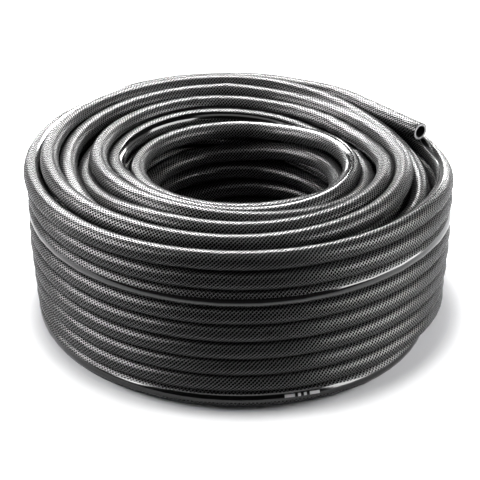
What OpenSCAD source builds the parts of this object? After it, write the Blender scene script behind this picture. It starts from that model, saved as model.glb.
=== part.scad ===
// Garden hose in a bare round coil: a soft inner tube, a knitted textile mesh and a dark, glassy
// outer jacket with one smooth print stripe, cut square at both ends.
// Millimetres, +Z up. The coil stands on Z = 0 with its axis on the Z axis. The free end lies on
// top and points away from the axis, between +X and -Y. The hose runs clockwise, seen from above,
// from the inner end on the floor of the eye to the free end.

/* [Hose] */
// Outside diameter of the hose
hose_od = 18; // [17:0.25:18.5]
// Diameter of the bore
bore_d = 13; // [11:0.25:14]
// Wall of the inner tube
liner_wall = 1.2; // [0.8:0.1:1.4]
// Thickness of the knitted mesh
mesh_wall = 0.5; // [0.3:0.1:0.6]
// Depth of the print stripe in the jacket
stripe_depth = 0.3; // [0.2:0.05:0.4]
// Width of the print stripe round the jacket, in degrees
stripe_angle = 48; // [30:2:60]

/* [Coil] */
// Diameter of the open eye of the coil
eye_d = 188; // [184:1:194]
// Number of turns on top of each other in the outer column
levels = 9; // [7:1:10]
// Number of turns beside each other on the top
columns = 6; // [5:1:7]
// Spare width between two columns
column_gap = 1.2; // [1.1:0.1:1.5]

/* [Ends] */
// Length of the cut free end that is built in its real layers
free_end_length = 82; // [60:1:84]
// Bend radius of the hose where the free end leaves the top turn
tail_bend_r = 155; // [153:1:160]
// Angle through which it bends there
tail_turn = 50; // [48:1:52]
// Length of the cut inner end that is built in its real layers
inner_end_length = 27; // [20:1:27]
// Bend radius of the hose behind the inner end
inner_bend_r = 72; // [70:1:73]

/* [Hidden] */

// Radii of the layers
hose_r = hose_od / 2;
bore_r = bore_d / 2;
liner_r = bore_r + liner_wall;
mesh_r = liner_r + mesh_wall;
stripe_r = hose_r - stripe_depth;
stripe_centre = 130;    // degrees from straight down, towards the outside of the coil
over = 1;               // how far a cut runs past the solid

// Places of the turns
column_step = hose_od + column_gap;
inner_r = eye_d / 2 + hose_r;
outer_r = inner_r + (columns - 1) * column_step;
last_top_r = outer_r - column_step;
floor_z = hose_r;
top_z = floor_z + (levels - 1) * hose_od;
under_top_z = top_z - hose_od;

// The wound tubes are a little thinner than the hose, so that no turn touches the next
wound_r = hose_r - 0.4;
wound_sides = 6;
ring_angle = 15;
lead = hose_od;         // straight run at each end of a wound tube

// The outer column: it comes out of the core at angle 0 and climbs at the back right
outer_start_r = outer_r - 18.8;
outer_swing_at = 15;
outer_swing = 60;
outer_climb_at = 337.5;
outer_climb = 60;
outer_travel = 360 * (levels - 1) + 270;

// The inner column and the top: from the inner end up the eye, then outwards over the top,
// and at last down beside the free end
inner_start = 300;
inner_swing = 120;
inner_climb_at = 345;
inner_climb = 90;
top_step_at = 270 + 360 * (levels - 1);
top_step = 60;
dive_at = top_step_at + 360 * (columns - 2) - 90;
dive = 45;
dive_in = 4;

// The core of buried turns, and the two places that the wound tubes' ends run into it
wall_gap = 0.4;
core_inner_r = inner_r + wound_r + wall_gap;
core_outer_r = outer_r - 11;
core_top = top_z - hose_r - 0.2;
start_wall_r = outer_start_r - 11;
start_angle = 75;
dive_wall_r = last_top_r - dive_in - 11;
dive_angle = 60;

function ease(t) = let (c = min(max(t, 0), 1)) c * c * (3 - 2 * c);
function around(r, angle, z) = [r * cos(angle), r * sin(angle), z];
function clockwise(angle) = [sin(angle), -cos(angle), 0];

// Steps taken by a strand that climbs or shifts once a turn, count times at the most
function steps_taken(travel, first, width, count) =
    let (turns = (travel - first) / 360)
    turns < 0 ? 0 : min(count, floor(turns) + ease((turns - floor(turns)) * 360 / width));

function outer_radius(t) = outer_start_r
    + (outer_r - outer_start_r) * ease((t - outer_swing_at) / outer_swing);
function outer_height(t) = floor_z
    + hose_od * steps_taken(t, outer_climb_at, outer_climb, levels - 1);

function inner_radius(t) = inner_bend_r
    + (inner_r - inner_bend_r) * ease(t / inner_swing)
    + column_step * steps_taken(t, top_step_at, top_step, columns - 2)
    - dive_in * ease((t - dive_at) / dive);
function inner_height(t) = floor_z
    + hose_od * steps_taken(t, inner_climb_at, inner_climb, levels - 1)
    - hose_od * ease((t - dive_at) / dive);

// Centre lines
outer_path = [
    around(outer_start_r, 0, floor_z) - lead * clockwise(0),
    for (t = [0 : ring_angle : outer_travel]) around(outer_radius(t), -t, outer_height(t))
];

tail_centre = [0, outer_r - tail_bend_r, top_z];
tail_heading = -tail_turn;
tail_way = [cos(tail_heading), sin(tail_heading), 0];
tail_arc_end = tail_centre + around(tail_bend_r, 90 - tail_turn, 0);
tail_steps = 5;
tail_path = [
    for (i = [1 : tail_steps]) tail_centre + around(tail_bend_r, 90 - tail_turn * i / tail_steps, 0),
    tail_arc_end + lead * tail_way
];
free_end_root = tail_arc_end + lead * tail_way;

inner_heading = inner_start - 90;
inner_way = clockwise(inner_start);
inner_tangent = around(inner_bend_r, inner_start, floor_z);
inner_end_root = inner_tangent - lead * inner_way;
inner_end_mouth = inner_end_root - inner_end_length * inner_way;
dive_end = inner_start - dive_at - dive;
inner_travel = dive_at + dive;
top_path = [
    inner_end_root,
    for (t = [0 : ring_angle : inner_travel]) around(inner_radius(t), inner_start - t, inner_height(t)),
    around(last_top_r - dive_in, dive_end, under_top_z) + lead * clockwise(dive_end)
];

// A tube of triangles swept along points
function unit(v) = v / norm(v);
function heading_at(p, i) = unit(p[min(i + 1, len(p) - 1)] - p[max(i - 1, 0)]);
function ring_at(p, i, r, sides) =
    let (way = heading_at(p, i), side = unit(cross(way, [0, 0, 1])), up = cross(side, way))
    [for (k = [0 : sides - 1]) p[i] + r * (cos(360 * k / sides) * side + sin(360 * k / sides) * up)];

module swept_tube(p, r, sides) {
    last = len(p) - 1;
    points = [for (i = [0 : last]) each ring_at(p, i, r, sides)];
    walls = [for (i = [0 : last - 1], k = [0 : sides - 1])
        let (a = i * sides + k, b = i * sides + (k + 1) % sides)
        each [[a, b, b + sides], [a, b + sides, a + sides]]];
    start_cap = [for (k = [1 : sides - 2]) [0, k + 1, k]];
    end_cap = [for (k = [1 : sides - 2]) [last * sides, last * sides + k, last * sides + k + 1]];
    polyhedron(points, concat(walls, start_cap, end_cap), convexity = 10);
}

// Least gap of a wound tube to itself, measured between points that are a third of a turn apart
function least_gap(p) = let (apart = 8)
    min([for (i = [0 : len(p) - 1 - apart]) min([for (j = [i + apart : len(p) - 1]) norm(p[i] - p[j])])])
    - 2 * wound_r;

module layer(outer, inner, length) {
    difference() {
        cylinder(r = outer, h = length, $fn = 96);
        translate([0, 0, -over]) cylinder(r = inner, h = length + 2 * over, $fn = 96);
    }
}

module stripe_sector(inner, outer, length) {
    rotate([0, 0, stripe_centre - stripe_angle / 2])
        rotate_extrude(angle = stripe_angle, $fn = 96)
            translate([inner, 0]) square([outer - inner, length]);
}

module jacket_shape(length) {
    difference() {
        layer(hose_r, mesh_r, length);
        translate([0, 0, -over]) stripe_sector(stripe_r, hose_r + over, length + 2 * over);
    }
}

module at_free_end() {
    translate(free_end_root) rotate([0, 90, tail_heading]) children();
}

module at_inner_end() {
    translate(inner_end_mouth) rotate([0, 90, inner_heading]) children();
}

// Opens the core from its outside in to a wall: a straight end at -Y, then round through angle
module pocket(wall_r, angle, depth) {
    outside_r = core_outer_r + 5 * over;
    linear_extrude(depth) polygon([
        [wall_r, -lead],
        for (a = [0 : ring_angle : angle]) [wall_r * cos(a), wall_r * sin(a)],
        for (a = [angle : -ring_angle : 0]) [outside_r * cos(a), outside_r * sin(a)],
        [outside_r, -lead]
    ]);
}

// Where the outer column starts, on the floor
module start_pocket() {
    translate([0, 0, -over]) mirror([0, 1, 0]) pocket(start_wall_r, start_angle, hose_od + 2 * over);
}

// Where the last top turn goes down
module dive_pocket() {
    translate([0, 0, core_top - hose_od]) rotate([0, 0, dive_end])
        pocket(dive_wall_r, dive_angle, hose_od + over);
}

module buried_turns() {
    color([0.10, 0.10, 0.11])
    difference() {
        rotate_extrude($fn = 192)
            translate([core_inner_r, 0]) square([core_outer_r - core_inner_r, core_top]);
        start_pocket();
        dive_pocket();
    }
}

module outer_turns() {
    color([0.13, 0.13, 0.14]) swept_tube(concat(outer_path, tail_path), wound_r, wound_sides);
}

module top_turns() {
    color([0.17, 0.17, 0.18]) swept_tube(top_path, wound_r, wound_sides);
}

module free_end_jacket() {
    color([0.15, 0.15, 0.16]) at_free_end() jacket_shape(free_end_length);
}

module free_end_stripe() {
    color([0.04, 0.04, 0.05]) at_free_end() stripe_sector(stripe_r, hose_r, free_end_length);
}

module free_end_mesh() {
    color([0.55, 0.56, 0.58]) at_free_end() layer(mesh_r, liner_r, free_end_length);
}

module free_end_liner() {
    color([0.30, 0.30, 0.31]) at_free_end() layer(liner_r, bore_r, free_end_length);
}

module inner_end_jacket() {
    color([0.15, 0.15, 0.16]) at_inner_end() jacket_shape(inner_end_length);
}

module inner_end_stripe() {
    color([0.04, 0.04, 0.05]) at_inner_end() stripe_sector(stripe_r, hose_r, inner_end_length);
}

module inner_end_mesh() {
    color([0.55, 0.56, 0.58]) at_inner_end() layer(mesh_r, liner_r, inner_end_length);
}

module inner_end_liner() {
    color([0.30, 0.30, 0.31]) at_inner_end() layer(liner_r, bore_r, inner_end_length);
}

echo("least gap of outer_turns to itself, mm", least_gap(concat(outer_path, tail_path)));
echo("least gap of top_turns to itself, mm", least_gap(top_path));
echo("loops", (outer_travel + tail_turn) / 360, inner_travel / 360);

buried_turns();
outer_turns();
top_turns();
free_end_jacket();
free_end_stripe();
free_end_mesh();
free_end_liner();
inner_end_jacket();
inner_end_stripe();
inner_end_mesh();
inner_end_liner();
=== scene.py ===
import math

import bpy
import numpy as np
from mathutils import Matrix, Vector


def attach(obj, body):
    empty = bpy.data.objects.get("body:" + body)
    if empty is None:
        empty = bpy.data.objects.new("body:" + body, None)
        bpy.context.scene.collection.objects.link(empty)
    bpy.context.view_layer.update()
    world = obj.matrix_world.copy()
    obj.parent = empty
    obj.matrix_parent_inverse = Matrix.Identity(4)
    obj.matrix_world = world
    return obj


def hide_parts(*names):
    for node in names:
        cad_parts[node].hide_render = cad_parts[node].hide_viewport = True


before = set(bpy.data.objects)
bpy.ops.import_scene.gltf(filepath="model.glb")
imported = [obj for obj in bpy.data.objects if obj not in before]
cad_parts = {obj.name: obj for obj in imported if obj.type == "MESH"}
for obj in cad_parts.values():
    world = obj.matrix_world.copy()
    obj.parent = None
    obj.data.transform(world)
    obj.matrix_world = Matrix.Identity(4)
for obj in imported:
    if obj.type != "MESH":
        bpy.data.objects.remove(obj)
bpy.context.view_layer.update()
print("frame loaded with", len(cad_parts), "nodes")

# the view: from the front and a little above, with a long lens
view = {
    "place": (0.0, -1.3743, 0.8338),
    "lookAt": (0.0, 0.0, 0.0645),
    "lens": 117.6,          # mm
    "sensor": 36,           # mm across
}


def addCamera():
    made = bpy.data.cameras.new("camera")
    made.lens = view["lens"]
    made.sensor_width = view["sensor"]
    camera = bpy.data.objects.new("camera", made)
    bpy.context.scene.collection.objects.link(camera)
    camera.location = view["place"]
    aim = Vector(view["lookAt"]) - Vector(view["place"])
    camera.rotation_euler = aim.to_track_quat("-Z", "Y").to_euler()
    bpy.context.scene.camera = camera


addCamera()
print("camera placed")

# the hose's way through the coil, in mm, as it is wound from the inner end to the free end
coil = {
    "perTurn": 72,              # points on each turn
    "startAngle": 300,          # where the inner end's bend begins, in degrees seen from above
    "hoseWidth": 18.0,
    "hidden": (121.5, 140.5, 159.5, 178.5),     # radii of the four columns inside the coil
    "layers": (9, 8, 8, 8),     # how many turns lie above each other in each of them
    "hiddenTop": 129.4,         # height of the highest of them
    "hiddenSpan": (60, 150),    # a hidden turn keeps its height from this angle round to the other
    "hiddenLaps": (10, 30),     # first lap of the first pair of columns and of the second pair
    "outer": (195, 196, 197, 198, 199, 199, 199, 199, 199),     # the outer column, from the floor up
    "outerHeights": (9, 26.2, 45, 62.9, 82.6, 99.7, 118.9, 135, 153),
    "outerStep": (22, 322),     # the outer turns climb to the next height between these angles
    "outerLap": 43,             # lap on which the lowest of them begins
}
ends = {
    "innerMouth": (74.971, -39.854, 9.0),       # cut end on the floor of the eye
    "tailCentre": (0.0, 44.0),      # the bend that brings the free end off the top turn
    "tailRadius": 155.0,
    "tailStart": 3.2,               # how much closer in that bend begins, and dips on the way
    "tailDip": 4.5,
    "tailTurn": 50,
    "tailStraight": 100.0,
    "tailHeight": 153.0,
    "spacing": 12,                  # between the points of both ends
    "closeSpacing": 2,              # and where the turns have to keep clear of them
}
settling = {
    "steps": 400,
    "room": 1.003,              # strands are held this much farther apart than the hose is wide
    "push": 0.45,               # share of an overlap by which each of two strands gives way
    "pullFades": 0.8,           # share of the pull to the marks that is gone by the last step
    "stillStart": 40,           # degrees of travel that stay as they are at the inner end
    "stillEnd": 12,             # and at the free end
    "wander": ((0.7, 1.37, 0), (0.5, 2.61, 1)),     # size, waves on each turn and start of each sway
    "nowhere": 1e4,             # empty places lie this far from each other
}
loose, guided, firm = 0.01, 0.06, 0.5       # how closely a strand keeps to its marks

# marks on the way: the lap, the angle seen from above, the radius and the height there
innerWall = (
    (0, 300, 72, 9), (0, 285, 73, 9), (0, 240, 87.5, 9), (0, 180, 103, 9.5), (0, 90, 103, 13),
    (1, 90, 102, 33), (2, 90, 103, 52), (3, 90, 103, 73), (4, 90, 102, 94), (5, 90, 103, 115),
    (5, 353, 100, 130))
topOutwards = (
    (6, 300, 96, 146), (6, 270, 95.5, 147), (6, 240, 96.5, 146.5), (6, 180, 101, 143),
    (6, 90, 101.5, 139), (6, 45, 104, 143), (6, 20, 108, 147), (6, 353, 111, 149),
    (7, 270, 114.5, 153), (7, 240, 115, 155), (7, 210, 115, 154), (7, 180, 121.5, 149),
    (7, 120, 121.5, 148), (7, 90, 119, 144.5), (7, 60, 115, 140), (7, 30, 114.5, 137),
    (7, 10, 117, 135), (7, 353, 123, 139),
    (8, 270, 131.5, 158), (8, 240, 132, 161), (8, 210, 134, 160), (8, 180, 139, 157),
    (8, 120, 140, 153), (8, 90, 139.5, 150), (8, 60, 131, 149), (8, 30, 131.5, 149.5),
    (8, 10, 136, 152), (8, 353, 144, 155),
    (9, 270, 149, 157), (9, 240, 149.5, 158.5), (9, 225, 150, 155), (9, 210, 150, 149),
    (9, 180, 149, 145))
goingIn = ((9, 120, 145, 135), (10, 150, coil["hidden"][1], 129))
goingUp = ((27, 60, coil["hidden"][2], 129),)
topAgain = (
    (28, 270, 162, 132), (28, 240, 166, 138), (28, 215, 166.5, 149), (28, 180, 167, 156),
    (28, 120, 164, 156.5), (28, 90, 160.5, 153.5), (28, 60, 149.5, 151), (28, 45, 143.5, 151.5),
    (28, 20, 142.5, 156), (28, 353, 159, 159),
    (29, 270, 178, 159.5), (29, 225, 182, 162.5), (29, 180, 185, 163), (29, 120, 182, 159.3),
    (29, 90, 178, 158.7), (29, 60, 173, 152.5), (29, 45, 165, 149), (29, 20, 163, 144),
    (29, 0, 171, 142), (29, 330, 184, 139))
goingDown = ((30, 300, 186, 139), (30, 270, 182, 134), (30, 240, 180, 131))
goingInAgain = ((30, 150, coil["hidden"][3], 129),)
leavingHidden = (43, 10, coil["hidden"][3], 9)
comingOut = (43, 330, coil["outer"][0] - 2, 9)
lowestTurn = (44, 290, coil["outer"][0], 9)
lastTurn = (
    (52, 270, 199, 155.5), (52, 180, 201, 151), (52, 120, 199.3, 153), (52, 105, 197.5, 153),
    (52, 90, 195.8, 153))


def travelTo(lap, angle):
    return 360 * lap + (coil["startAngle"] - angle) % 360


def hiddenTurn(lap, column, level):
    radius = coil["hidden"][column]
    floor = coil["hoseWidth"] / 2
    height = floor + (coil["hiddenTop"] - floor) * (level - 1) / (coil["layers"][column] - 1)
    begins, stops = coil["hiddenSpan"]
    return [(lap, begins, radius, height), (lap + 1, stops, radius, height)]


def hiddenMarks():
    # the first column downwards and the second upwards, then the other two down side by side
    layers, inside, insideAgain = coil["layers"], list(goingIn), list(goingInAgain)
    lap, lapAgain = coil["hiddenLaps"]
    turns = [(0, level) for level in range(layers[0], 0, -1)]
    turns += [(1, level) for level in range(1, layers[1] + 1)]
    for column, level in turns:
        inside += hiddenTurn(lap, column, level)
        lap += 1
    for level in range(layers[2] - 1, 0, -1):
        for column in (2, 3) if level % 2 else (3, 2):
            insideAgain += hiddenTurn(lapAgain, column, level)
            lapAgain += 1
    insideAgain[-1] = leavingHidden
    return inside + list(goingUp), insideAgain


def outerMarks():
    climbs, climbed = coil["outerStep"]
    marks = [lowestTurn]
    for i, (radius, height) in enumerate(zip(coil["outer"], coil["outerHeights"])):
        if i > 0:
            marks.append((coil["outerLap"] + i, climbed, radius, height))
        if i < len(coil["outer"]) - 1:
            marks.append((coil["outerLap"] + i + 1, climbs, radius, height))
    return marks + list(lastTurn)


def marksOfCoil():
    inside, insideAgain = hiddenMarks()
    stretches = (
        (innerWall, guided), (topOutwards, firm), (inside, loose), (topAgain, firm),
        (goingDown, guided), (insideAgain, loose), ((comingOut,), guided), (outerMarks(), firm))
    return np.array([(travelTo(lap, angle), radius, height, hold)
                     for marks, hold in stretches for lap, angle, radius, height in marks], float)


def smoothThrough(at, known, values):
    # cubic between the marks, flat where the values turn back, so that nothing overshoots
    step = np.diff(known)
    slope = np.diff(values) / step
    grade = np.zeros(len(known))
    same = slope[:-1] * slope[1:] > 0
    w1, w2 = 2 * step[1:] + step[:-1], step[1:] + 2 * step[:-1]
    grade[1:-1][same] = ((w1 + w2)[same]
                         / (w1[same] / slope[:-1][same] + w2[same] / slope[1:][same]))
    i = np.clip(np.searchsorted(known, at, side="right") - 1, 0, len(step) - 1)
    t = (at - known[i]) / step[i]
    return (values[i] * (1 + 2 * t) * (1 - t) ** 2 + values[i + 1] * t * t * (3 - 2 * t)
            + step[i] * (grade[i] * t * (1 - t) ** 2 - grade[i + 1] * t * t * (1 - t)))


def tailPoints(spacing):
    # from the top turn round the last bend and straight on to the free end
    centre, radius = np.array(ends["tailCentre"]), ends["tailRadius"]
    turn = math.radians(ends["tailTurn"])
    steps = int(radius * turn / spacing)
    part = np.arange(steps + 1) / steps
    angles = math.pi / 2 - turn * part
    radius = radius - ends["tailStart"] * (1 - part) ** 2 * (1 + 2 * part)
    radius = radius - ends["tailDip"] * np.sin(math.pi * part) ** 2
    bend = centre + radius[:, None] * np.stack((np.cos(angles), np.sin(angles)), 1)
    way = np.array((math.cos(turn), -math.sin(turn)))
    steps = int(ends["tailStraight"] / spacing)
    straight = bend[-1] + np.outer(np.arange(1, steps + 1) / steps * ends["tailStraight"], way)
    flat = np.concatenate((bend, straight))
    return np.column_stack((flat, np.full(len(flat), ends["tailHeight"])))


def leadPoints(spacing):
    # from the inner end's mouth straight on to where the first bend begins
    _, angle, radius, height = innerWall[0]
    angle = math.radians(angle)
    tangent = np.array((radius * math.cos(angle), radius * math.sin(angle), height))
    mouth = np.array(ends["innerMouth"])
    steps = int(np.linalg.norm(mouth - tangent) / spacing)
    return mouth + np.outer(np.arange(steps) / steps, tangent - mouth)


def holdClearOf(points, row, grid):
    # where a straight end crosses the stations, so that the turns keep clear of it
    angle = np.degrees(np.arctan2(points[:, 1], points[:, 0]))
    order = np.argsort(angle)
    for station in range(coil["perTurn"]):
        at = (coil["startAngle"] - 360 / coil["perTurn"] * station + 180) % 360 - 180
        if angle.min() <= at <= angle.max():
            radius = np.interp(at, angle[order], np.hypot(points[:, 0], points[:, 1])[order])
            grid[row, station] = (radius, np.interp(at, angle[order], points[order, 2]))


def wantedPlaces(at, marks):
    # radius and height at each point, with a slow sway where the marks don't hold firmly
    travel, radius, height, hold = marks.T
    hold = np.interp(at, travel, hold)
    sway = sum(size * np.sin(np.radians(at) * waves + start)
               for size, waves, start in settling["wander"])
    wanted = np.stack((smoothThrough(at, travel, radius) + sway * (hold < firm),
                       smoothThrough(at, travel, height)), 1)
    return wanted, hold[:, None]


def settledTurns():
    # the turns push each other apart, station by station, until each lies on its neighbours
    marks = marksOfCoil()
    end, perTurn = marks[-1, 0], coil["perTurn"]
    width = coil["hoseWidth"] * settling["room"]
    at = np.arange(0, end + 1, 360 / perTurn)
    count, laps = len(at), len(at) // perTurn + 1
    wanted, hold = wantedPlaces(at, marks)
    place = wanted.copy()
    still = (at < settling["stillStart"]) | (at > end - settling["stillEnd"])
    rows = np.arange(laps + 2)      # one for each lap and one for each end
    base = np.zeros((laps + 2, perTurn, 2))
    base[..., 0] = settling["nowhere"] * (1 + rows)[:, None]
    holdClearOf(tailPoints(ends["closeSpacing"]), laps, base)
    holdClearOf(leadPoints(ends["closeSpacing"]), laps + 1, base)
    for step in range(settling["steps"]):
        grid = base.copy()
        grid[:laps].reshape(-1, 2)[:count] = place
        apart = grid[:, None] - grid[None]
        far = np.sqrt((apart ** 2).sum(-1)) + 1e-9      # never quite 0, as it divides below
        near = np.maximum(0, width - far)
        near[rows, rows] = 0
        push = settling["push"] * ((near / far)[..., None] * apart).sum(1)
        push = push[:laps].reshape(-1, 2)[:count]
        pull = hold * (wanted - place) * (1 - settling["pullFades"] * step / settling["steps"])
        bend = np.zeros_like(place)     # half way to the middle of the points before and after
        bend[1:-1] = (place[:-2] + place[2:]) / 4 - place[1:-1] / 2
        place = place + np.where(still[:, None], 0, push + pull + bend)
        place[:, 1] = np.maximum(place[:, 1], coil["hoseWidth"] / 2)
    print("coil settled, mean overlap", round(float(near.sum() / 2 / count), 3), "mm")
    return at, place


def hoseLine():
    # the middle of the hose in metres, with the travel in degrees at each of its points
    at, place = settledTurns()
    angle = np.radians(coil["startAngle"] - at)
    turns = np.column_stack((place[:, 0] * np.cos(angle), place[:, 0] * np.sin(angle), place[:, 1]))
    lead, tail = leadPoints(ends["spacing"]), tailPoints(ends["spacing"])[1:]
    line = np.concatenate((lead, turns, tail)) / 1000
    travel = np.concatenate((np.full(len(lead), 0.0), at, at[-1] + np.arange(1, len(tail) + 1)))
    return line, travel


line, travel = hoseLine()
run = np.concatenate(((0,), np.cumsum(np.linalg.norm(np.diff(line, axis=0), axis=1))))
print("hose of", round(float(run[-1]), 2), "m in", len(line), "points")

# the hose itself: one closed skin along that way, with an open pocket at both cut ends
hose = {
    "sides": 24,
    "radius": coil["hoseWidth"] / 2000,     # in metres, as all sizes from here on
    "wallInside": 0.0082,       # the mesh lies inside this
    "lip": 0.0003,              # rounding of the cut edge
    "lipMiddle": 0.3,           # where the rounding has its middle ring, as a share of it
    "startPocket": (0.029, (1, 0.6, 0.2)),      # depth behind the cut, and shares of it with a ring
    "endPocket": (0.084, (0.1, 0.4, 0.7, 1)),
}
# the lap, the angle seen from above, and which way the smooth stripe faces there:
# 0 straight down, 90 outwards, 180 up, 270 into the coil
stripeFaces = (
    (0, 300, 130), (5, 90, 60), (6, 353, 190), (9, 180, 300), (28, 180, 320), (29, 353, 280),
    (43, 90, 150), (43, 345, 80), (43, 310, 84), (44, 293, 108), (44, 285, 114), (44, 270, 115),
    (44, 250, 105), (44, 232, 95), (44, 200, 82), (45, 270, 200), (46, 270, 260), (48, 270, 300),
    (49, 270, 220), (50, 270, 85), (50, 180, 80), (50, 90, 40), (51, 270, -20), (51, 180, -60),
    (51, 353, -165), (52, 270, -125), (52, 180, -140), (52, 90, -230))


def stripeAngles():
    marks = np.array([(travelTo(lap, angle), faces) for lap, angle, faces in stripeFaces], float)
    return smoothThrough(np.clip(travel, 0, marks[-1, 0]), marks[:, 0], marks[:, 1])


def ringsOfHose():
    # each ring: how far along the hose, its radius, and 1 where the strip before it is cut face
    outer, inner, lip, total = hose["radius"], hose["wallInside"], hose["lip"], run[-1]
    middle = lip * hose["lipMiddle"]
    depth, shares = hose["startPocket"]
    rings = [(depth * share, inner, 0) for share in shares]
    rings += [(0, inner, 0), (0, outer - lip, 1), (middle, outer - middle, 1), (lip, outer, 1)]
    rings += [(s, outer, 0) for s in run[1:-1]]
    rings += [(total - s, radius, cut) for s, radius, cut in
              ((lip, outer, 0), (middle, outer - middle, 1), (0, outer - lip, 1), (0, inner, 1))]
    depth, shares = hose["endPocket"]
    rings += [(total - depth * share, inner, 0) for share in shares]
    return np.array(rings)


def skinPoints(along, radius):
    # points round each ring, counted from the middle of the stripe, and last the two closing ones
    at = np.column_stack([np.interp(along, run, line[:, k]) for k in range(3)])
    way = np.gradient(line, axis=0)
    way = np.column_stack([np.interp(along, run, way[:, k]) for k in range(3)])
    way /= np.linalg.norm(way, axis=1)[:, None]
    out = np.cross((0, 0, 1), way)
    out /= np.linalg.norm(out, axis=1)[:, None]
    up = np.cross(way, out)
    sides = hose["sides"]
    turn = np.interp(along, run, stripeAngles())[:, None] + 360 / sides * np.arange(sides)
    turn = np.radians(turn)[..., None]
    spoke = np.sin(turn) * out[:, None] - np.cos(turn) * up[:, None]
    points = at[:, None] + radius[:, None, None] * spoke
    return np.concatenate((points.reshape(-1, 3), at[:1], at[-1:]))


def makeHose():
    rings, sides = ringsOfHose(), hose["sides"]
    along, radius, cut = rings.T
    points = skinPoints(along, radius)
    i, j = np.meshgrid(np.arange(len(rings) - 1), np.arange(sides), indexing="ij")
    k = (j + 1) % sides
    corners = (i * sides + j, i * sides + k, (i + 1) * sides + k, (i + 1) * sides + j)
    quads = np.stack(corners, -1).reshape(-1, 4)
    last = (len(rings) - 1) * sides
    caps = [(len(points) - 2, (s + 1) % sides, s) for s in range(sides)]
    caps += [(len(points) - 1, last + s, last + (s + 1) % sides) for s in range(sides)]
    mesh = bpy.data.meshes.new("hose")
    mesh.from_pydata(points.tolist(), [], quads.tolist() + caps)
    # the pattern's own map: metres along, and once round from the stripe
    u = np.stack((along[i], along[i], along[i + 1], along[i + 1]), -1).reshape(-1)
    v = np.stack((j, j + 1, j + 1, j), -1).reshape(-1) / sides
    uv = np.zeros((len(mesh.loops), 2), np.float32)
    uv[:len(u)] = np.column_stack((u, v))
    mesh.uv_layers.new(name="alongAndRound").data.foreach_set("uv", uv.ravel())
    mesh.polygons.foreach_set("use_smooth", np.ones(len(mesh.polygons), bool))
    slots = np.zeros(len(mesh.polygons), np.int32)
    slots[:len(quads)] = cut[i + 1].reshape(-1)
    mesh.polygons.foreach_set("material_index", slots)
    mesh.update()
    made = bpy.data.objects.new("hose", mesh)
    bpy.context.scene.collection.objects.link(made)
    return made


hoseBody = makeHose()
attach(hoseBody, "root")
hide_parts("buried_turns", "outer_turns", "top_turns", "free_end_jacket",
            "free_end_stripe", "inner_end_jacket", "inner_end_stripe")
print("hose made with", len(hoseBody.data.polygons), "faces")


# finishes
class Nodes:
    # a short way to lay out the nodes of one material, or of the world
    def __init__(self, name, holder=None):
        self.holder = holder or bpy.data.materials.new(name)
        self.holder.use_nodes = True
        self.tree = self.holder.node_tree
        self.tree.nodes.clear()

    def plug(self, socket, value):
        if isinstance(value, bpy.types.NodeSocket):
            self.tree.links.new(value, socket)
        else:
            socket.default_value = value

    def add(self, kind, values=(), **settings):
        node = self.tree.nodes.new(kind)
        for name, value in settings.items():
            setattr(node, name, value)
        for name, value in dict(values).items():
            self.plug(node.inputs[name], value)
        return node

    def maths(self, kind, a, b=0.0):
        return self.add("ShaderNodeMath", {0: a, 1: b}, operation=kind).outputs[0]

    def vector(self, kind, a, b=(0.0, 0.0, 0.0)):
        node = self.add("ShaderNodeVectorMath", {0: a, 1: b}, operation=kind)
        return node.outputs["Value" if kind in ("DOT_PRODUCT", "LENGTH") else "Vector"]

    def ease(self, value, low, high, below=0.0, above=1.0):
        # one level below low, another above high, and smooth between them
        return self.add("ShaderNodeMapRange", {"Value": value, "From Min": low, "From Max": high,
                                               "To Min": below, "To Max": above},
                        interpolation_type="SMOOTHSTEP").outputs[0]

    def blend(self, factor, a, b):
        node = self.add("ShaderNodeMix", data_type="RGBA")
        for socket, value in zip((node.inputs[0], node.inputs[6], node.inputs[7]), (factor, a, b)):
            self.plug(socket, value)
        return node.outputs[2]

    def noise(self, vector, scale, detail=2.0):
        values = {"Vector": vector, "Scale": scale, "Detail": detail}
        return self.add("ShaderNodeTexNoise", values).outputs[0]

    def place(self):
        return self.add("ShaderNodeTexCoord").outputs["Object"]

    def seenBy(self):
        # 1 for what the camera sees, and 1 for what shows in gloss and glass
        rays = self.add("ShaderNodeLightPath").outputs
        mirrored = self.maths("MAXIMUM", rays["Is Glossy Ray"], rays["Is Transmission Ray"])
        return rays["Is Camera Ray"], mirrored

    def finish(self, shader, target="ShaderNodeOutputMaterial"):
        self.add(target, {"Surface": shader})
        return self.holder


def grey(level):
    return (level, level, level * 1.02, 1)      # a trace of blue


jacket = {
    "rightLay": (0.0038, 15),   # spacing along the hose of the yarns laid one way, and their number
    "leftLay": (0.0032, 15),    # the same for the yarns laid the other way
    "leftFiner": 1.25,          # how much finer those are for their spacing
    "wobble": (240.0, 0.35),    # how finely and how far the yarns stray, the latter in spacings
    "yarnFades": (0.08, 0.3),   # where a yarn ends, from 0 at its middle to 1 half way to the next
    "gapFades": (0.22, 0.4),    # where the gap between yarns, with its painted shade, begins
    "ridgeFades": 0.7,          # where the ridge over a yarn has run out
    "yarn": 0.2,                # brightness of the yarn under the jacket
    "gap": 0.0005,              # of the gap, darker than the jacket itself: painted shade in the recess between yarns
    "skin": 0.002,              # and of the dark jacket, as on the smooth stripe
    "skinShades": (26.0, 0.7, 1.3),     # how finely, and between which shares, that varies
    "roughness": (0.12, 0.16),  # on the stripe and on the knit
    "gapRoughness": 0.8,        # and so much more in the gaps
    "refraction": 1.5,
    "relief": 0.00006,          # how deep the jacket dips between the yarns
    "stripeRelief": 0.1,        # share of that on the stripe
    "stripeWidth": 0.0075,
    "stripeFades": 1.12,        # the knit is whole at this many times the stripe's half width
}
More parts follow.
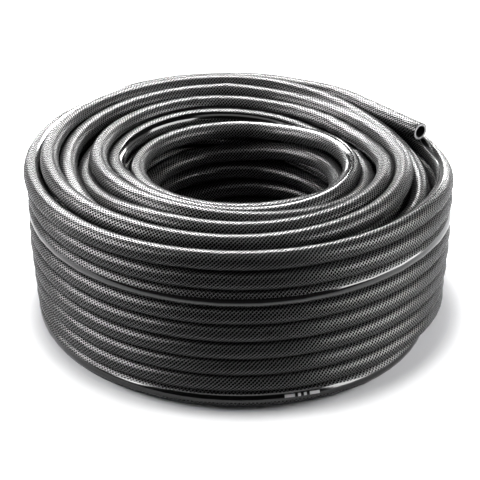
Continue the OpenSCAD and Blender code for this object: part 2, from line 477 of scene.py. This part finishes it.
# the marks printed on the smooth stripe
printing = {
    "startsAt": (44, 291),      # lap and angle at which one of the groups begins
    "every": 5.0,               # metres from one group to the next
    "dashes": ((0, 9), (12, 14.5), (17.5, 20), (23, 32)),       # start and end of each, in mm
    "halfHeight": 0.0014,
    "edge": 0.0002,
    "brightness": 0.7,
}


def printedMarks(n, u, fromStripe):
    start = float(np.interp(travelTo(*printing["startsAt"]), travel, run))
    along = n.maths("SUBTRACT", u, start % printing["every"])
    along = n.maths("FLOORED_MODULO", along, printing["every"])
    across = n.maths("MULTIPLY", fromStripe, 2 * math.pi * hose["radius"])
    edge, high = printing["edge"], printing["halfHeight"]
    inHeight = n.ease(across, high, high + edge, 1.0, 0.0)
    marks = 0.0
    for first, last in printing["dashes"]:
        middle, half = (first + last) / 2000, (last - first) / 2000
        away = n.maths("ABSOLUTE", n.maths("SUBTRACT", along, middle))
        marks = n.maths("MAXIMUM", marks, n.ease(away, half, half + edge, 1.0, 0.0))
    return n.maths("MULTIPLY", marks, inHeight)


def fromYarns(n, u, v, space):
    # 0 on the middle of the nearest yarn of either lay, towards 1 between them
    scale, size = jacket["wobble"]
    wobble = n.maths("MULTIPLY", n.maths("SUBTRACT", n.noise(space, scale), 0.5), size)
    waves = []
    for lay, kind in (("rightLay", "ADD"), ("leftLay", "SUBTRACT")):
        spacing, number = jacket[lay]
        count = n.maths(kind, n.maths("DIVIDE", u, spacing), n.maths("MULTIPLY", v, float(number)))
        count = n.maths(kind, count, wobble)
        waves.append(n.maths("ABSOLUTE", n.maths("SINE", n.maths("MULTIPLY", count, math.pi))))
    return n.maths("MINIMUM", waves[0], n.maths("MULTIPLY", waves[1], jacket["leftFiner"]))


def jacketFinish():
    # glossy soft jacket that follows the knitted yarns under it, with one smooth stripe
    n = Nodes("hoseJacket")
    uv = n.add("ShaderNodeUVMap", uv_map="alongAndRound").outputs[0]
    split = n.add("ShaderNodeSeparateXYZ", {0: uv})
    u, v = split.outputs[0], split.outputs[1]
    space = n.place()
    fromYarn = fromYarns(n, u, v, space)
    fromStripe = n.maths("MINIMUM", v, n.maths("SUBTRACT", 1.0, v))
    half = jacket["stripeWidth"] / (2 * math.pi * hose["radius"]) / 2
    knit = n.ease(fromStripe, half, half * jacket["stripeFades"])
    yarn = n.maths("MULTIPLY", n.ease(fromYarn, *jacket["yarnFades"], 1.0, 0.0), knit)
    gap = n.maths("MULTIPLY", n.ease(fromYarn, *jacket["gapFades"]), knit)
    marks = printedMarks(n, u, fromStripe)
    scale, darker, lighter = jacket["skinShades"]
    colour = n.blend(n.noise(space, scale), grey(jacket["skin"] * darker),
                     grey(jacket["skin"] * lighter))
    colour = n.blend(yarn, colour, grey(jacket["yarn"]))
    # the gaps between yarns get a darker colour than the jacket's own dark: painted shade in those
    # recesses
    colour = n.blend(gap, colour, grey(jacket["gap"]))
    colour = n.blend(marks, colour, grey(printing["brightness"]))
    ridge = n.maths("MULTIPLY", n.ease(fromYarn, 0.0, jacket["ridgeFades"], 1.0, 0.0),
                    n.ease(knit, 0.0, 1.0, jacket["stripeRelief"]))
    bump = n.add("ShaderNodeBump", {"Height": ridge, "Strength": 1.0, "Distance": jacket["relief"]})
    rough = n.maths("ADD", n.ease(knit, 0.0, 1.0, *jacket["roughness"]),
                    n.maths("MULTIPLY", gap, jacket["gapRoughness"]))
    # metallic from the gap mask, with its near-black colour, takes the gloss out of the gaps: painted
    # shade, as if the recesses reflected only dark
    shader = n.add("ShaderNodeBsdfPrincipled", {
        "Base Color": colour, "Metallic": gap, "Roughness": rough, "IOR": jacket["refraction"],
        "Normal": bump.outputs[0]})
    return n.finish(shader.outputs[0])


cutFaces = {
    "jacket": (0.05, 0.5),      # brightness of the cut, and share by which its specks differ
    "mesh": (0.3, 0.3),
    "grain": (900.0, 4.0),      # fineness and detail of the blade's drag marks
    "specks": (0.35, 0.65),
    "roughness": 0.5,
    "relief": (0.4, 0.0002),    # strength and depth
}
liner = {
    "cut": (0.26, 0.4),         # darkest and palest brightness where it is cut
    "bore": (0.006, 0.012),     # and inside the bore
    "cutDepth": (0.0003, 0.0009),       # where one turns into the other
    "roughness": 0.45,
}


def cutFaceFinish(name, level, speck):
    # sawn soft plastic, with fine drag marks
    n = Nodes(name)
    fine = n.noise(n.place(), *cutFaces["grain"])
    specks = n.ease(fine, *cutFaces["specks"])
    colour = n.blend(specks, grey(level * (1 - speck)), grey(level * (1 + speck)))
    strength, depth = cutFaces["relief"]
    bump = n.add("ShaderNodeBump", {"Height": fine, "Strength": strength, "Distance": depth})
    shader = n.add("ShaderNodeBsdfPrincipled", {
        "Base Color": colour, "Roughness": cutFaces["roughness"], "Normal": bump.outputs[0]})
    return n.finish(shader.outputs[0])


def linerFinish(name, mouth, inwards):
    # pale where it is cut, dark and smooth in the bore
    n = Nodes(name)
    space = n.place()
    depth = n.vector("DOT_PRODUCT", n.vector("SUBTRACT", space, tuple(mouth)), tuple(inwards))
    fine = n.noise(space, *cutFaces["grain"])
    pale = n.blend(fine, *[grey(level) for level in liner["cut"]])
    dark = n.blend(fine, *[grey(level) for level in liner["bore"]])
    shader = n.add("ShaderNodeBsdfPrincipled", {
        "Base Color": n.blend(n.ease(depth, *liner["cutDepth"]), pale, dark),
        "Roughness": liner["roughness"]})
    return n.finish(shader.outputs[0])


def finishCutEnds():
    meshCut = cutFaceFinish("meshCut", *cutFaces["mesh"])
    for end, mouth, behind in (("free_end", line[-1], line[-2]), ("inner_end", line[0], line[1])):
        inwards = (behind - mouth) / np.linalg.norm(behind - mouth)
        linerCut = linerFinish("liner_" + end, mouth, inwards)
        for layer, finish in (("mesh", meshCut), ("liner", linerCut)):
            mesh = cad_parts[end + "_" + layer].data
            mesh.materials.clear()
            mesh.materials.append(finish)
            mesh.polygons.foreach_set("material_index", [0] * len(mesh.polygons))


hoseBody.data.materials.append(jacketFinish())
hoseBody.data.materials.append(cutFaceFinish("jacketCut", *cutFaces["jacket"]))
finishCutEnds()
print("finishes made")

# floor, surroundings and lamps
studio = {
    "floorSize": 14.0,
    "floorDrop": 0.0002,        # the floor lies this much under the hose
    "floorGrey": 0.9,
    "glow": (0.0, 0.62),        # glow of the floor, which only the camera and reflections see; it is 0 under the coil and rises beside it, a painted shadow ring at the coil's foot on top of the lamps' own shadow
    "paintedShadowEdge": (0.187, 0.215),     # camera and reflections see, so that the shadow stays
    "farGlow": (0.0, 0.4),      # and what is added to it farther out, the painted shadow's soft outer fade
    "farGlowFrom": (0.2, 0.34),
    "paintedShadowCentre": (0.005, -0.012, 0.0),
    "paintedShadowShape": (0.93, 1.0, 1.0),      # below 1 the glow begins farther out that way, so the painted shadow reaches farther
    "floorFades": (0.25, 0.36),     # how far in front the floor goes dark in reflections
    "farFloor": 0.05,           # and how bright it is there
    "horizon": 12.0,            # reflections show the surroundings behind as white up to so many degrees
    "horizonFades": 1.8,        # and as dark from this many times that height
    "behind": (-0.1, 0.4),      # where the white begins, from the sides towards the back
    "ceiling": 0.02,            # brightness of all the rest in reflections
    "fill": 0.05,               # the surroundings' own light on the object
    "lampsAim": (0.0, 0.0, 0.05),
}
lamps = {
    # name: place, width, height, brightness, and whether it shows only in gloss
    # the others light the object, to about 1 in all at its middle
    "leftSoft": ((-1.58, 0.25, 0.5), 1.2, 0.8, 12.6, False),
    "rightSoft": ((1.58, 0.25, 0.5), 1.2, 0.8, 11.6, False),
    "topSoft": ((0.0, 0.5, 1.7), 1.4, 0.8, 2.6, False),
    "leftSheen": ((-1.45, -0.35, 0.9), 1.6, 1.1, 23.0, True),
    "rightSheen": ((1.5, -0.45, 0.45), 1.6, 1.0, 15.0, True),
    "topSheen": ((-0.3, 1.0, 1.25), 1.5, 0.9, 52.0, True),
    "frontSheen": ((0.0, -1.1, 1.7), 2.6, 0.8, 2.0, True),
    "backLeftSheen": ((-0.68, 1.68, 0.35), 0.75, 0.45, 18.0, True),
    "backRightSheen": ((0.68, 1.68, 0.35), 0.75, 0.45, 18.0, True),
}


def floorFinish():
    # plain pale paint that keeps the lamps' shadow, and a glow for the camera and reflections that is
    # held back near the coil as a painted shadow
    n = Nodes("floorWhite")
    camera, mirrored = n.seenBy()
    space = n.place()
    away = n.maths("MULTIPLY", n.add("ShaderNodeSeparateXYZ", {0: space}).outputs[1], -1.0)
    fade = n.ease(away, *studio["floorFades"], 1.0, studio["farFloor"])
    dark = n.maths("MULTIPLY", mirrored, n.maths("SUBTRACT", 1.0, fade))
    keep = n.maths("SUBTRACT", 1.0, dark)
    seen = n.maths("MAXIMUM", camera, n.maths("MULTIPLY", mirrored, fade))
    # the glow is held back near the coil, off-centre and squeezed: a painted shadow ring at its foot,
    # added to the lamps' own shadow in the paint
    around = n.vector("SUBTRACT", space, studio["paintedShadowCentre"])
    reach = n.vector("LENGTH", n.vector("MULTIPLY", around, studio["paintedShadowShape"]))
    glow = n.maths("ADD", n.ease(reach, *studio["paintedShadowEdge"], *studio["glow"]),
                   n.ease(reach, *studio["farGlowFrom"], *studio["farGlow"]))
    glow = n.maths("MULTIPLY", seen, glow)
    colour = n.blend(keep, grey(0.0), grey(studio["floorGrey"]))
    paint = n.add("ShaderNodeBsdfDiffuse", {"Color": colour})
    light = n.add("ShaderNodeEmission", {"Color": (1, 1, 1, 1), "Strength": glow})
    both = n.add("ShaderNodeAddShader", {0: paint.outputs[0], 1: light.outputs[0]})
    return n.finish(both.outputs[0])


def makeFloor():
    place = (0, 0, -studio["floorDrop"])
    bpy.ops.mesh.primitive_plane_add(size=studio["floorSize"], location=place)
    floor = bpy.context.object
    floor.name = "floor"
    floor.data.materials.append(floorFinish())


def makeSurroundings():
    # white to the camera, a low white band behind in reflections, and a little light for the rest
    world = bpy.data.worlds.new("studio")
    bpy.context.scene.world = world
    n = Nodes("studio", world)
    way = n.add("ShaderNodeTexCoord").outputs["Generated"]
    split = n.add("ShaderNodeSeparateXYZ", {0: way})
    back, up = split.outputs[1], split.outputs[2]
    edge = math.sin(math.radians(studio["horizon"]))
    band = n.maths("MULTIPLY", n.ease(up, edge, edge * studio["horizonFades"], 1.0, 0.0),
                   n.ease(back, *studio["behind"]))
    band = n.maths("ADD", band, studio["ceiling"])
    camera, mirrored = n.seenBy()
    seen = n.maths("MAXIMUM", camera, n.maths("MULTIPLY", mirrored, band))
    unseen = n.maths("SUBTRACT", 1.0, n.maths("MAXIMUM", camera, mirrored))
    strength = n.maths("ADD", seen, n.maths("MULTIPLY", unseen, studio["fill"]))
    sky = n.add("ShaderNodeBackground", {"Color": (1, 1, 1, 1), "Strength": strength})
    n.finish(sky.outputs[0], "ShaderNodeOutputWorld")


def makeLamps():
    for name, (place, width, height, brightness, glossOnly) in lamps.items():
        lamp = bpy.data.lights.new(name, "AREA")
        lamp.shape = "RECTANGLE"
        lamp.size, lamp.size_y = width, height
        lamp.energy = brightness * math.pi * width * height
        made = bpy.data.objects.new(name, lamp)
        bpy.context.scene.collection.objects.link(made)
        made.location = place
        aim = Vector(studio["lampsAim"]) - Vector(place)
        made.rotation_euler = aim.to_track_quat("-Z", "Y").to_euler()
        made.visible_camera = False
        made.visible_diffuse, made.visible_glossy = not glossOnly, glossOnly


makeFloor()
makeSurroundings()
makeLamps()
bpy.context.scene.view_settings.view_transform = "Standard"
print("stage and lamps made")
